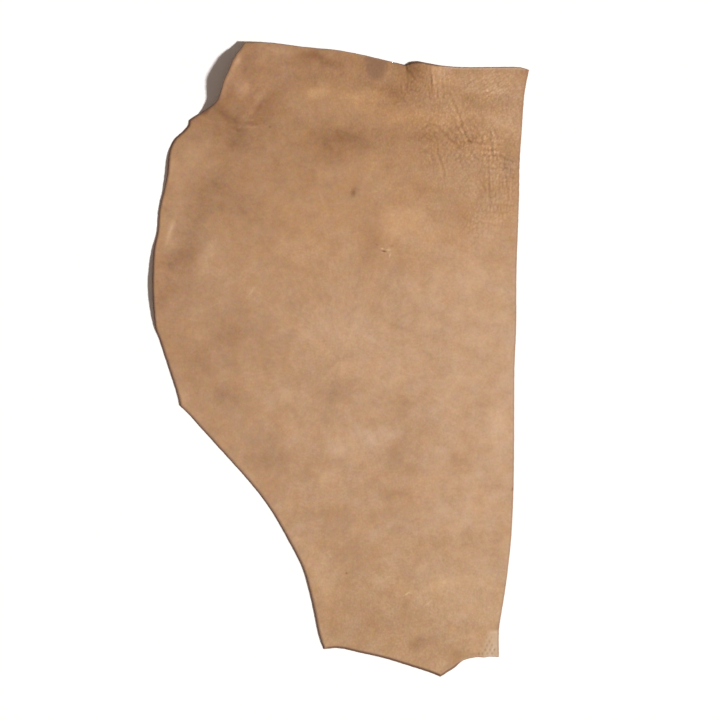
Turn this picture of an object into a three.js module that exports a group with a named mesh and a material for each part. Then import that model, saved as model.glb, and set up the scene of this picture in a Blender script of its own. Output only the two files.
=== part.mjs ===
// A single shoulder of vegetable-tanned cowhide, lying flat with its grain side up.
//
// The leather is one sheet of even thickness. Four sides bound it: the rear cut, the neck, the
// belly side with the foreleg, and the straight cut along the backbone. The sheet lies on the
// plane z = 0, and it leaves that plane only where LIFTS says: at a curled corner and the neck
// beside it, at two slack stretches of belly, and at a ripple in the neck.
//
// Units are millimetres. +X runs from the belly to the backbone, +Y from the rear cut to the
// neck, and +Z up. The origin is under the middle of the outline's bounding box.

import * as THREE from 'three';

// ---- Driving dimensions ------------------------------------------------------------------------

const THICKNESS = 2.6;

// Each side of the outline is a chain of stretches. A stretch is a smooth curve through a few
// [x, y] points, cut into `steps` equal lengths, and two stretches meet at a corner of the hide.
// Opposite sides have the same number of steps in all, so that the sheet's rows and columns join
// them: 60 rows and 36 columns.

const REAR_SIDE = [
  {
    name: 'rear cut',
    steps: 23,
    points: [
      [-24, -447.6], [-1, -446.2], [28, -452.2], [72, -462.4], [106, -472.8], [140, -483.8],
      [156, -490.4],
    ],
  },
  {
    name: 'rear corner',
    steps: 13,
    points: [
      [156, -490.4], [166, -484], [178, -476], [186, -469], [193, -464.4], [213, -459.8],
      [224, -460.4], [230, -459.2], [246.4, -459.6],
    ],
  },
];

const NECK_SIDE = [
  {
    name: 'neck crest',
    steps: 17,
    points: [
      [-146, 487], [-122, 487.4], [-92, 485.6], [-61, 481.4], [1, 475.2], [16, 472.4], [47, 466],
      [78, 458.5], [101, 453],
    ],
  },
  {
    name: 'neck ripple',
    steps: 9,
    points: [
      [101, 453], [108.6, 456], [117.8, 457.4], [127, 457.4], [136.3, 455.7], [155, 452.2],
    ],
  },
  {
    name: 'withers',
    steps: 10,
    points: [[155, 452.2], [186, 449.5], [247, 449.6], [281, 448.8], [293, 445]],
  },
];

const BELLY_SIDE = [
  {
    name: 'foreleg',
    steps: 24,
    points: [
      [-24, -447.6], [-30.5, -426], [-43, -367], [-55.6, -323], [-75.1, -284], [-106.6, -230.1],
      [-138.1, -189.1], [-184, -138], [-214, -104.6], [-233, -84], [-245, -73],
    ],
  },
  {
    name: 'belly',
    steps: 26,
    points: [
      [-245, -73], [-248, -58], [-261, -17], [-276.3, 29], [-283, 46], [-288, 100], [-288, 137],
      [-286, 168], [-279.5, 199], [-277, 229], [-266.6, 276], [-263.8, 306], [-262, 320],
      [-254, 338], [-239.6, 351.5], [-232.5, 360.4], [-230.4, 368],
    ],
  },
  {
    name: 'throat corner',
    steps: 10,
    points: [
      [-230.4, 368], [-214.6, 378], [-195.4, 390.8], [-188, 399], [-183, 414], [-178, 430],
      [-171, 445], [-165, 460], [-154, 475.6], [-146, 487],
    ],
  },
];

const BACK_SIDE = [
  {
    name: 'behind the shoulder blade',
    steps: 24,
    points: [
      [246.4, -459.6], [246.2, -440], [246.8, -415], [251.2, -386], [256.1, -356], [264.8, -282],
      [268.6, -212], [269.8, -143], [270.1, -58],
    ],
  },
  {
    name: 'over the shoulder blade',
    steps: 26,
    points: [
      [270.1, -58], [270.6, -9], [273, 45], [273.6, 137], [277.4, 245], [278.4, 303],
      [281.6, 350],
    ],
  },
  {
    name: 'up to the withers',
    steps: 10,
    points: [[281.6, 350], [284.2, 391], [286.6, 414], [293, 445]],
  },
];

// A lift stands on the edge at [x, y] and faces outwards along `facing`, in degrees from +X. It is
// `rise` high at the edge, dies away over `reach` inwards, and along the edge it ends `before` and
// `after` its middle, going clockwise round the hide.
const LIFTS = [
  { name: 'curled corner', x: -177.2, y: 427.6, facing: 154, rise: 18.6, reach: 95, before: 64, after: 92 },
  { name: 'upper belly', x: -265, y: 293, facing: 175, rise: 2.2, reach: 40, before: 40, after: 36 },
  { name: 'neck corner', x: -125, y: 487, facing: 90, rise: 2.6, reach: 60, before: 30, after: 55 },
  { name: 'slack belly', x: -288, y: 106, facing: 180, rise: 5, reach: 55, before: 76, after: 88 },
  { name: 'ripple, first fold', x: 112, y: 456, facing: 90, rise: 1.5, reach: 45, before: 9, after: 22 },
  { name: 'ripple, second fold', x: 136, y: 455, facing: 90, rise: 3.6, reach: 75, before: 32, after: 24 },
];

// How fast a lift dies away, along the edge and inwards.
const LIFT_FADE = 1.5;

// ---- The outline and the plan of the sheet -----------------------------------------------------

function stretchPoints({ points, steps }) {
  const through = points.map(([x, y]) => new THREE.Vector3(x, y, 0));
  return new THREE.CatmullRomCurve3(through, false, 'centripetal').getSpacedPoints(steps);
}

function sidePoints(stretches) {
  return stretches.flatMap((stretch, index) => stretchPoints(stretch).slice(index === 0 ? 0 : 1));
}

const rear = sidePoints(REAR_SIDE);
const neck = sidePoints(NECK_SIDE);
const belly = sidePoints(BELLY_SIDE);
const back = sidePoints(BACK_SIDE);
const columns = rear.length - 1;
const rows = belly.length - 1;

// The point of the plan at a column and a row: the rows join the belly to the back, the columns
// join the rear to the neck, and the sum of the two is counted once (a Coons patch).
function planPoint(column, row) {
  const u = column / columns;
  const v = row / rows;
  const acrossRows = belly[row].clone().lerp(back[row], u);
  const alongColumns = rear[column].clone().lerp(neck[column], v);
  const rearCorners = rear[0].clone().lerp(rear[columns], u);
  const neckCorners = neck[0].clone().lerp(neck[columns], u);
  return acrossRows.add(alongColumns).sub(rearCorners.lerp(neckCorners, v));
}

// ---- The height of the flesh side --------------------------------------------------------------

function liftHeight(lift, x, y) {
  const facing = THREE.MathUtils.degToRad(lift.facing);
  const dx = x - lift.x;
  const dy = y - lift.y;
  const inwards = Math.max(0, -(dx * Math.cos(facing) + dy * Math.sin(facing)));
  const along = dx * Math.sin(facing) - dy * Math.cos(facing);
  const t = along < 0 ? -along / lift.before : along / lift.after;
  if (t >= 1 || inwards >= lift.reach) {
    return 0;
  }
  return lift.rise * ((1 - t * t) * (1 - inwards / lift.reach)) ** LIFT_FADE;
}

function height(x, y) {
  return LIFTS.reduce((total, lift) => total + liftHeight(lift, x, y), 0);
}

const SLOPE_STEP = 0.5;

function sheetNormal(x, y) {
  const slopeX = (height(x + SLOPE_STEP, y) - height(x - SLOPE_STEP, y)) / (2 * SLOPE_STEP);
  const slopeY = (height(x, y + SLOPE_STEP) - height(x, y - SLOPE_STEP)) / (2 * SLOPE_STEP);
  return new THREE.Vector3(-slopeX, -slopeY, 1).normalize();
}

// ---- The sheet ---------------------------------------------------------------------------------

// The flesh side first, then the grain side THICKNESS above it along the sheet's own normal.
function sheetVertices() {
  const flesh = [];
  const grain = [];
  for (let row = 0; row <= rows; row++) {
    for (let column = 0; column <= columns; column++) {
      const point = planPoint(column, row);
      const normal = sheetNormal(point.x, point.y);
      point.z = height(point.x, point.y);
      flesh.push(point);
      grain.push(point.clone().addScaledVector(normal, THICKNESS));
    }
  }
  return [...flesh, ...grain];
}

// The grid points round the rim, anticlockwise seen from above.
function rimLoop(at) {
  const loop = [];
  for (let column = 0; column < columns; column++) {
    loop.push(at(column, 0));
  }
  for (let row = 0; row < rows; row++) {
    loop.push(at(columns, row));
  }
  for (let column = columns; column > 0; column--) {
    loop.push(at(column, rows));
  }
  for (let row = rows; row > 0; row--) {
    loop.push(at(0, row));
  }
  return loop;
}

function sheetTriangles() {
  const layer = (columns + 1) * (rows + 1);
  const at = (column, row) => row * (columns + 1) + column;
  const triangles = [];
  for (let row = 0; row < rows; row++) {
    for (let column = 0; column < columns; column++) {
      const a = at(column, row);
      const b = at(column + 1, row);
      const c = at(column + 1, row + 1);
      const d = at(column, row + 1);
      triangles.push(a, c, b, a, d, c);
      triangles.push(layer + a, layer + b, layer + c, layer + a, layer + c, layer + d);
    }
  }
  const loop = rimLoop(at);
  loop.forEach((here, index) => {
    const next = loop[(index + 1) % loop.length];
    triangles.push(here, next, layer + next, here, layer + next, layer + here);
  });
  return triangles;
}

function leatherSheet() {
  const geometry = new THREE.BufferGeometry().setFromPoints(sheetVertices());
  geometry.setIndex(sheetTriangles());
  geometry.computeBoundingBox();
  const middle = geometry.boundingBox.getCenter(new THREE.Vector3());
  geometry.translate(-middle.x, -middle.y, 0);
  geometry.computeVertexNormals();
  return geometry;
}

const leather = new THREE.MeshStandardMaterial({ color: 0xb99373, roughness: 0.6, metalness: 0 });

const sheet = new THREE.Mesh(leatherSheet(), leather);
sheet.name = 'shoulder_leather';

const shoulder = new THREE.Group();
shoulder.add(sheet);

export default shoulder;
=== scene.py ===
# %% [markdown]
# # A shoulder of vegetable-tanned leather
#
# A shoulder is the front part of one side of a cow hide: neck at the top, foreleg and belly on the
# left, backbone on the right. It is one sheet about as thick as two coins, and it lies on its
# rough flesh side with the smooth grain side up.
#
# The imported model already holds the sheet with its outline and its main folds. This script lays a
# finer sheet in the same place, with the creases, the pebbled neck and the clamp marks that a
# coarse solid can't hold, and then gives it a grain side, a cut edge and a flesh side.

import bpy
import numpy as np
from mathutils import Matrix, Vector, noise


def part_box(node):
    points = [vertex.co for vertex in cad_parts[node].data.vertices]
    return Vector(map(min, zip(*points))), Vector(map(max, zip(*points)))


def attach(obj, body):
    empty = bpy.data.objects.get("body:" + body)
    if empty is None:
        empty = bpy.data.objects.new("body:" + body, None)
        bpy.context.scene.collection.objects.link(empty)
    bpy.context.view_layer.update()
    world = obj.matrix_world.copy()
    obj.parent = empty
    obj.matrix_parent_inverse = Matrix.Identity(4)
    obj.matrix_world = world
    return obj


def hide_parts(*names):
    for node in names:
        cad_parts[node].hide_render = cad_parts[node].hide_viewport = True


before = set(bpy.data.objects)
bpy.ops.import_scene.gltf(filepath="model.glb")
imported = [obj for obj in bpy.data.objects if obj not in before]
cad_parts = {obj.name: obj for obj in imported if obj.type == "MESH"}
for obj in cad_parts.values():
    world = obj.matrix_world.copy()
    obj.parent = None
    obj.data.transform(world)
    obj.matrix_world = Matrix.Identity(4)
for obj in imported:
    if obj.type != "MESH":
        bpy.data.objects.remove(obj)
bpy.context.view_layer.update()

MM = 0.001
SOLID = "shoulder_leather"
solid_low, solid_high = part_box(SOLID)
print("the solid measures", [round(side, 4) for side in solid_high - solid_low], "metres")

# %% [markdown]
# ## Camera
#
# The sheet is seen from straight above, as on a cutting table. A long lens from almost four metres
# up keeps the outline true: a short lens would push the lifted corner outwards. The view is a
# square a little wider than the hide is long, and it reaches far enough for low views to see the
# floor's far edge.

# %% Hang the camera over the sheet
VIEW_WIDTH = 1.1088
LENS = 120.0
SENSOR = 36.0
VIEW_MIDDLE = (0.0299, -0.0005)
VIEW_DEPTH = 100.0
THICKNESS = 2.6

camera_height = THICKNESS * MM + VIEW_WIDTH * LENS / SENSOR
bpy.ops.object.camera_add(location=(*VIEW_MIDDLE, camera_height), rotation=(0, 0, 0))
camera = bpy.context.object
camera.name = "overhead_camera"
camera.data.lens = LENS
camera.data.sensor_width = SENSOR
camera.data.clip_end = VIEW_DEPTH
bpy.context.scene.camera = camera
print("camera", round(camera_height, 3), "metres up")

# %% [markdown]
# ## Colours and nodes
#
# Paint and leather colours are easiest to choose as the hex values of a colour picker, but the
# renderer works in linear light, so one function turns the first into the second. A second small
# function adds a node with its settings and links, which keeps each material readable as a recipe.

# %% Helpers for materials
def linear(hex_colour):
    """An sRGB hex value as the four linear numbers that a colour socket takes."""
    shares = [int(hex_colour[i : i + 2], 16) / 255 for i in (1, 3, 5)]
    return [s / 12.92 if s <= 0.04045 else ((s + 0.055) / 1.055) ** 2.4 for s in shares] + [1.0]


def add(tree, kind, inputs=None, **settings):
    """One shader node of that kind, with its settings, its values and its links."""
    made = tree.nodes.new("ShaderNode" + kind)
    for name, value in settings.items():
        setattr(made, name, value)
    for name, value in (inputs or {}).items():
        if isinstance(value, bpy.types.NodeSocket):
            tree.links.new(value, made.inputs[name])
        else:
            made.inputs[name].default_value = value
    return made


def new_material(name):
    """An empty material of that name and its node tree."""
    material = bpy.data.materials.new(name)
    material.use_nodes = True
    material.node_tree.nodes.clear()
    return material, material.node_tree


# The sockets of a Mix node that mixes colours, and of a Map Range node. Those of a Math node are
# 0, 1 and 2, and a multiply-add gives 0 times 1, plus 2.
FACTOR, FIRST, SECOND, MIXED = 0, 6, 7, 2
VALUE, FROM_LOW, FROM_HIGH, TO_LOW, TO_HIGH = range(5)

# %% [markdown]
# ## Floor and light
#
# The floor is plain matt white paper. One lamp stands low on the right, like a softbox at the
# side of the table: its slanting light draws the creases, and the lifted edges throw a shadow to
# the left. A weak light from all round keeps that shadow from going black. It is stronger near
# the horizon, like the white walls of a studio, which only low views see.

# %% Lay the floor and set the lights
LAMP_TRAVEL = (-0.786, 0.221, -0.574)
LAMP_STRENGTH = 5.1
LAMP_SOFTNESS = 0.10
FILL = 0.21
FILL_COLOUR = "#ffe4d4"
HORIZON = 0.85
HORIZON_TOP = 0.2
FLOOR_SIZE = 60.0
FLOOR_GAP = 0.0003

bpy.ops.object.select_all(action="DESELECT")
bpy.ops.mesh.primitive_plane_add(size=FLOOR_SIZE, location=(0, 0, -FLOOR_GAP))
floor = bpy.context.object
floor.name = "paper_floor"
paper, tree = new_material("matt_white_paper")
paper_shader = add(tree, "BsdfDiffuse", {"Color": linear("#f8f8f7")})
add(tree, "OutputMaterial", {"Surface": paper_shader.outputs[0]})
floor.data.materials.append(paper)

bpy.ops.object.light_add(type="SUN", location=(2.4, -0.7, 1.8))
lamp = bpy.context.object
lamp.name = "side_softbox"
lamp.rotation_euler = Vector(LAMP_TRAVEL).to_track_quat("-Z", "Y").to_euler()
lamp.data.energy = LAMP_STRENGTH
lamp.data.angle = LAMP_SOFTNESS

world = bpy.data.worlds.new("studio")
bpy.context.scene.world = world
world.use_nodes = True
tree = world.node_tree
tree.nodes.clear()
direction = add(tree, "SeparateXYZ", {0: add(tree, "TexCoord").outputs["Generated"]})
glow = add(tree, "MapRange", {VALUE: direction.outputs["Z"], FROM_HIGH: HORIZON_TOP,
                              TO_LOW: HORIZON, TO_HIGH: FILL})
backdrop = add(tree, "Background", {"Color": linear(FILL_COLOUR), "Strength": glow.outputs[0]})
add(tree, "OutputWorld", {"Surface": backdrop.outputs[0]})
bpy.context.scene.view_settings.view_transform = "Standard"
print("floor", FLOOR_SIZE, "metres wide, lamp", LAMP_STRENGTH, "and fill", FILL)

# %% [markdown]
# ## Outline
#
# A hide has no straight sides apart from the cuts. Each of the four sides is a chain of smooth
# stretches through a few measured points, and two stretches meet at a corner. The points are in
# millimetres from a mark near the middle of the hide. A curve of this kind passes through every
# point without swinging wide between two that are close together.

# %% The four sides
REAR_SIDE = [
    ("rear cut", 23, [(-24, -447.6), (-1, -446.2), (28, -452.2), (72, -462.4), (106, -472.8),
                      (140, -483.8), (156, -490.4)]),
    ("rear corner", 13, [(156, -490.4), (166, -484), (178, -476), (186, -469), (193, -464.4),
                         (213, -459.8), (224, -460.4), (230, -459.2), (246.4, -459.6)]),
]
NECK_SIDE = [
    ("neck crest", 17, [(-146, 487), (-122, 487.4), (-92, 485.6), (-61, 481.4), (1, 475.2),
                        (16, 472.4), (47, 466), (78, 458.5), (101, 453)]),
    ("neck ripple", 9, [(101, 453), (108.6, 456), (117.8, 457.4), (127, 457.4), (136.3, 455.7),
                        (155, 452.2)]),
    ("withers", 10, [(155, 452.2), (186, 449.5), (247, 449.6), (281, 448.8), (293, 445)]),
]
BELLY_SIDE = [
    ("foreleg", 24, [(-24, -447.6), (-30.5, -426), (-43, -367), (-55.6, -323),
                     (-75.1, -284), (-106.6, -230.1), (-138.1, -189.1), (-184, -138),
                     (-214, -104.6), (-233, -84), (-245, -73)]),
    ("belly", 26, [(-245, -73), (-248, -58), (-261, -17), (-276.3, 29), (-283, 46), (-288, 100),
                   (-288, 137), (-286, 168), (-279.5, 199), (-277, 229), (-266.6, 276),
                   (-263.8, 306), (-262, 320), (-254, 338), (-239.6, 351.5), (-232.5, 360.4),
                   (-230.4, 368)]),
    ("throat corner", 10, [(-230.4, 368), (-214.6, 378), (-195.4, 390.8), (-188, 399), (-183, 414),
                           (-178, 430), (-171, 445), (-165, 460), (-154, 475.6), (-146, 487)]),
]
BACK_SIDE = [
    ("behind the blade", 24, [(246.4, -459.6), (246.2, -440), (246.8, -415), (251.2, -386),
                              (256.1, -356), (264.8, -282), (268.6, -212), (269.8, -143),
                              (270.1, -58)]),
    ("over the blade", 26, [(270.1, -58), (270.6, -9), (273, 45), (273.6, 137), (277.4, 245),
                            (278.4, 303), (281.6, 350)]),
    ("up to the withers", 10, [(281.6, 350), (284.2, 391), (286.6, 414), (293, 445)]),
]
CURVE_STEPS = 60


def curve_through(points, shares):
    """The points at these shares of the length of a smooth curve through the given points."""
    p = np.array(points, float)
    p = np.vstack([2 * p[0] - p[1], p, 2 * p[-1] - p[-2]])
    gaps = np.sqrt(np.linalg.norm(np.diff(p, axis=0), axis=1))
    t = np.linspace(0, 1, CURVE_STEPS, endpoint=False)[:, None]
    traced = []
    for i in range(1, len(p) - 2):
        before, here, after = gaps[i - 1 : i + 2]
        middle = (p[i + 1] - p[i]) / here
        leaving = (p[i] - p[i - 1]) / before - (p[i + 1] - p[i - 1]) / (before + here) + middle
        arriving = middle - (p[i + 2] - p[i]) / (here + after) + (p[i + 2] - p[i + 1]) / after
        traced.append((2 * t**3 - 3 * t**2 + 1) * p[i] + (3 * t**2 - 2 * t**3) * p[i + 1]
                      + (t**3 - 2 * t**2 + t) * here * leaving + (t**3 - t**2) * here * arriving)
    traced = np.vstack([*traced, p[-2:-1]])
    length = np.concatenate([[0], np.cumsum(np.linalg.norm(np.diff(traced, axis=0), axis=1))])
    return np.stack([np.interp(shares * length[-1], length, traced[:, k]) for k in (0, 1)], 1)


def side_points(stretches, shares):
    """The points at these shares of a side, whose stretches take it up by their steps."""
    ends = np.cumsum([0] + [steps for _, steps, _ in stretches])
    ends = ends / ends[-1]
    made = np.zeros((len(shares), 2))
    for (_, _, points), start, end in zip(stretches, ends[:-1], ends[1:]):
        inside = (shares > start - 1e-9) & (shares < end + 1e-9)
        made[inside] = curve_through(points, (shares[inside] - start) / (end - start))
    return made


stretch_names = [name for name, _, _ in REAR_SIDE + NECK_SIDE + BELLY_SIDE + BACK_SIDE]
print(len(stretch_names), "stretches:", ", ".join(stretch_names))

# %% [markdown]
# ## Rows and columns
#
# The sheet is woven from rows that join belly to back and columns that join rear to neck. They lie
# close together where there is fine detail, at the neck, the withers and the clamp marks, and
# further apart on the plain belly. Each zone runs on to a share of the side in so many steps.

# %% Space the rows and columns
COLUMN_ZONES = [(5 / 36, 27), (17 / 36, 30), (26 / 36, 54), (1.0, 96)]
ROW_ZONES = [(0.06, 36), (0.4, 72), (0.65, 51), (50 / 60, 108), (1.0, 93)]
COARSE = 3


def spaced(zones):
    """Shares from 0 to 1, in even steps within each zone."""
    shares = [0.0]
    for until, steps in zones:
        shares.extend(np.linspace(shares[-1], until, steps + 1)[1:])
    return np.array(shares)


column_shares = spaced(COLUMN_ZONES)
row_shares = spaced(ROW_ZONES)
columns = len(column_shares) - 1
rows = len(row_shares) - 1
print(rows, "rows and", columns, "columns")

# %% [markdown]
# ## Knife wobble
#
# A knife that follows a chalk line wanders by a fraction of a millimetre, and an outline that is
# perfectly smooth looks like plastic. The whole outline is one loop, and each point of it knows the
# direction straight outwards, so that it can be pushed out or in. Blender's noise gives the same
# value at the same place every time.

# %% Make the loop and its outward directions
WOBBLES = [
    # how far out and in, size, slice of the noise
    (0.30, 7.0, 0.0),
    (0.18, 2.6, 5.0),
]
CORNER_TURN = 0.985
CORNER_REACH = 16.0


def noise_at(xy, size, slice_at):
    """Smooth noise between about -1 and 1 at each point, with features about `size` across."""
    flat = xy.reshape(-1, 2) / size
    values = [noise.noise((x, y, slice_at)) for x, y in flat]
    return np.array(values).reshape(xy.shape[:-1])


def outward_directions(loop):
    """The outward direction at each point of an anticlockwise loop, longer at a corner.

    Near a corner the directions lean towards the corner's own, so that points that are moved
    inwards stay in order.
    """
    step = np.roll(loop, -1, axis=0) - loop
    length = np.linalg.norm(step, axis=1)
    along = step / length[:, None]
    out = np.stack([along[:, 1], -along[:, 0]], 1)
    before = np.roll(out, 1, axis=0)
    turn = (out * before).sum(axis=1)
    out = (out + before) / (1 + turn)[:, None]
    tangent = np.roll(along, 1, axis=0) + along
    tangent /= np.linalg.norm(tangent, axis=1)[:, None]
    place_on_loop = np.concatenate([[0], np.cumsum(length)[:-1]])
    leaned = out.copy()
    for corner in np.flatnonzero(turn < CORNER_TURN):
        far = np.abs(place_on_loop - place_on_loop[corner])
        far = np.minimum(far, length.sum() - far)
        fade = np.maximum(0, 1 - far / CORNER_REACH) ** 2
        fade[corner] = 0
        leaned += tangent * (fade * (tangent @ out[corner]))[:, None]
    return leaned


rear = side_points(REAR_SIDE, column_shares)
neck = side_points(NECK_SIDE, column_shares)
belly = side_points(BELLY_SIDE, row_shares)
back = side_points(BACK_SIDE, row_shares)
loop = np.vstack([rear[:-1], back[:-1], neck[:0:-1], belly[:0:-1]])
middle = (loop.min(axis=0) + loop.max(axis=0)) / 2
loop -= middle
outward = outward_directions(loop)
wobble = sum(most * noise_at(loop, size, at) for most, size, at in WOBBLES)
loop += outward * wobble[:, None]
print("outline", np.round(np.ptp(loop, axis=0), 1), "mm, middle at", np.round(middle, 2))

# %% [markdown]
# The plan of the sheet comes from its four sides: the rows give one surface, the columns another,
# and the sum of the two, less what is counted twice, passes through all four sides (a Coons
# patch). Made from sides that are moved a little inwards, it leaves room for a rounded rim.

# %% The plan of the sheet, so far in from the outline
def plan_of_sheet(inset):
    """The plan at every row and column, of the sheet less a border `inset` wide."""
    edge = loop - outward * inset
    low = edge[: columns + 1]
    right = edge[columns : columns + rows + 1]
    high = edge[columns + rows : 2 * columns + rows + 1][::-1]
    left = np.vstack([edge[2 * columns + rows :], edge[:1]])[::-1]
    u = column_shares[None, :, None]
    v = row_shares[:, None, None]
    across = left[:, None] * (1 - u) + right[:, None] * u
    along = low[None] * (1 - v) + high[None] * v
    corners = (low[0] * (1 - u) + low[-1] * u) * (1 - v) + (high[0] * (1 - u) + high[-1] * u) * v
    return across + along - corners


# %% [markdown]
# ## Lifts
#
# Leather this thick doesn't drape. It lies flat and springs up where it dried curled: at the corner
# by the throat, along two slack stretches of belly, and in two folds of the neck. These are the
# lifts of the solid. An edge that rises also draws in a little.

# %% How high the flesh side lies
LIFTS = [
    # name, x, y, facing in degrees, rise, reach, before, after
    ("curled corner", -177.2, 427.6, 154, 18.6, 95, 64, 92),
    ("upper belly", -265, 293, 175, 2.2, 40, 40, 36),
    ("neck corner", -125, 487, 90, 2.6, 60, 30, 55),
    ("slack belly", -288, 106, 180, 5.0, 55, 76, 88),
    ("ripple, first fold", 112, 456, 90, 1.5, 45, 9, 22),
    ("ripple, second fold", 136, 455, 90, 3.6, 75, 32, 24),
]
LIFT_FADE = 1.5
DRAW_IN = 0.13
SLOPE_STEP = 0.5


def lifts_at(xy):
    """The height of the flesh side at each point, and how far it is drawn in, both in mm."""
    height = np.zeros(xy.shape[:-1])
    drawn = np.zeros(xy.shape)
    for _, x, y, facing, rise, reach, before, after in LIFTS:
        out = np.array([np.cos(np.radians(facing)), np.sin(np.radians(facing))])
        offset = xy + middle - (x, y)
        inwards = np.maximum(0, -(offset @ out)) / reach
        along = offset[..., 0] * out[1] - offset[..., 1] * out[0]
        share = np.where(along < 0, -along / before, along / after)
        fade = np.maximum(0, 1 - share**2) * np.maximum(0, 1 - inwards)
        risen = rise * fade**LIFT_FADE
        height += risen
        drawn -= DRAW_IN * risen[..., None] * out
    return height, drawn


def place(xy, above):
    """Points in metres that lie `above` mm over the flesh side, square to the sheet."""
    height, drawn = lifts_at(xy)
    slopes = []
    for step in ((SLOPE_STEP, 0), (0, SLOPE_STEP)):
        slopes.append((lifts_at(xy + step)[0] - lifts_at(xy - step)[0]) / (2 * SLOPE_STEP))
    up = np.stack([-slopes[0], -slopes[1], np.ones_like(height)], -1)
    up /= np.linalg.norm(up, axis=-1)[..., None]
    flesh = np.concatenate([xy + drawn, height[..., None]], -1)
    return (flesh + up * np.asarray(above)[..., None]) * MM


print(len(LIFTS), "lifts, the highest", max(rise for _, _, _, _, rise, *_ in LIFTS), "mm")

# %% [markdown]
# ## Creases
#
# Where the neck folded on the living animal, the grain keeps its creases. They can't be woven or
# sprung into shape, so each is listed as a soft trough along a line, with its own width and
# depth, and with a slight ridge of pushed-up leather on both sides. They die away at their ends. A
# fold of grain that stands up between two creases has a depth below nothing.

# %% Creases of the neck
CREASES = [
    # name, depth, half width, points from the middle of the sheet
    ("long crease", 0.37, 2.1, [(163, 416), (171, 400), (177, 388), (182, 375), (186, 363),
                                (191, 350), (198, 334), (203, 319)]),
    ("beside the long crease", 0.31, 1.9, [(175, 364), (181, 353), (188, 341)]),
    ("branch", 0.38, 2.1, [(154, 354), (162, 345), (170, 337), (179, 330), (188, 324)]),
    ("arc", 0.42, 1.9, [(126, 356), (134, 361), (142, 362), (149, 359), (155, 352)]),
    ("low left", 0.37, 1.8, [(149, 338), (149, 320), (153, 307), (158, 292), (160, 277)]),
    ("left of the low left", 0.28, 1.8, [(137, 321), (140, 311), (144, 301)]),
    ("thin upright", 0.22, 1.8, [(145, 335), (143, 323)]),
    ("cross", 0.24, 1.8, [(120, 326), (129, 321), (137, 318)]),
    ("slant", 0.48, 1.9, [(203, 362), (210, 350), (216, 338)]),
    ("under the slant", 0.36, 2.0, [(192, 341), (203, 335), (216, 335)]),
    ("first upright", 0.32, 1.8, [(213, 352), (218, 337), (221, 320), (224, 303)]),
    ("second upright", 0.38, 1.8, [(224, 353), (229, 341), (232, 327), (235, 310)]),
    ("long upright", 0.29, 1.7, [(227, 323), (227, 300), (227, 277), (229, 258), (230, 236)]),
    ("fourth upright", 0.27, 1.8, [(235, 357), (241, 339), (244, 322)]),
    ("low slant", 0.32, 1.9, [(216, 274), (222, 261), (228, 250)]),
    ("first row", 0.32, 1.8, [(211, 326), (223, 324), (236, 324), (249, 321)]),
    ("second row", 0.34, 1.8, [(214, 316), (229, 315), (245, 314), (259, 307), (273, 304)]),
    ("third row", 0.34, 1.8, [(211, 303), (225, 296), (245, 295), (269, 291)]),
    ("fourth row", 0.29, 1.8, [(238, 283), (255, 281), (271, 279)]),
    ("left row", 0.29, 1.8, [(185, 330), (197, 321), (205, 314), (214, 307)]),
    ("upper row", 0.26, 1.8, [(205, 334), (221, 333), (237, 334), (251, 331)]),
    ("beside the branch", 0.26, 1.9, [(165, 359), (171, 350), (179, 342)]),
    ("foot of the ripple", 0.36, 1.9, [(98, 454), (101, 449), (103, 445)]),
    ("flank of the ripple", 0.32, 1.8, [(105, 446), (109, 440), (114, 432)]),
    ("below the foot", 0.29, 1.8, [(97, 432), (100, 421), (103, 411)]),
    ("beside the foot", 0.22, 1.8, [(92, 431), (92, 415)]),
    ("far side of the crest", -0.32, 1.6, [(141, 456), (141, 442), (142, 430), (145, 415),
                                          (147, 398)]),
    ("below the crest", 0.25, 1.8, [(135, 418), (136, 408), (137, 397)]),
    ("first streak", 0.15, 1.7, [(154, 449), (155, 431), (157, 411), (159, 392)]),
    ("second streak", 0.15, 1.7, [(162, 451), (163, 437), (163, 418)]),
    ("third streak", 0.17, 1.7, [(148, 412), (149, 394)]),
    ("right streak", 0.24, 1.8, [(240, 280), (243, 261), (245, 241)]),
    ("far right streak", 0.24, 1.8, [(252, 289), (256, 267), (257, 246)]),
    ("withers low", 0.23, 1.9, [(192, 423), (202, 429), (211, 435)]),
    ("withers middle", 0.23, 1.9, [(220, 411), (229, 414), (240, 417)]),
    ("withers right", 0.20, 1.8, [(225, 403), (234, 408), (243, 409)]),
    ("foot of the curl", 0.22, 4.0, [(-193, 386), (-180, 377), (-169, 370), (-160, 366)]),
    ("right of the foot", 0.40, 2.5, [(-151, 366), (-139, 364), (-129, 363)]),
    ("up from the foot", 0.22, 3.0, [(-143, 372), (-134, 380), (-128, 387), (-121, 396),
                                     (-111, 401)]),
    ("below the foot of the curl", 0.29, 2.3, [(-173, 361), (-161, 355), (-149, 353)]),
    ("bright ridge, slant", -0.44, 1.7, [(202, 360), (206, 354), (210, 347)]),
    ("bright ridge, first upright", -0.34, 1.7, [(218, 340), (219, 329), (221, 318)]),
    ("bright ridge, second upright", -0.32, 1.7, [(225, 350), (230, 342)]),
    ("bright ridge, third upright", -0.28, 1.7, [(232, 355), (236, 346), (240, 337)]),
    ("bright ridge, left", -0.34, 1.7, [(163, 339), (169, 334), (176, 329)]),
    ("bright ridge, top", -0.26, 1.7, [(179, 385), (181, 370)]),
    ("bright ridge, row", -0.34, 1.7, [(214, 320), (219, 319), (224, 318)]),
    ("bright ridge, right of the row", -0.30, 1.7, [(236, 321), (244, 321), (253, 317)]),
    ("bright ridge, under the slant", -0.30, 1.7, [(193, 341), (204, 339)]),
    ("bright ridge, low", -0.26, 1.7, [(199, 311), (205, 307)]),
    ("bright ridge, below the row", -0.26, 1.7, [(221, 312), (222, 306)]),
    ("bright ridge, low right", -0.26, 1.7, [(245, 307), (258, 303)]),
]
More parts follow.
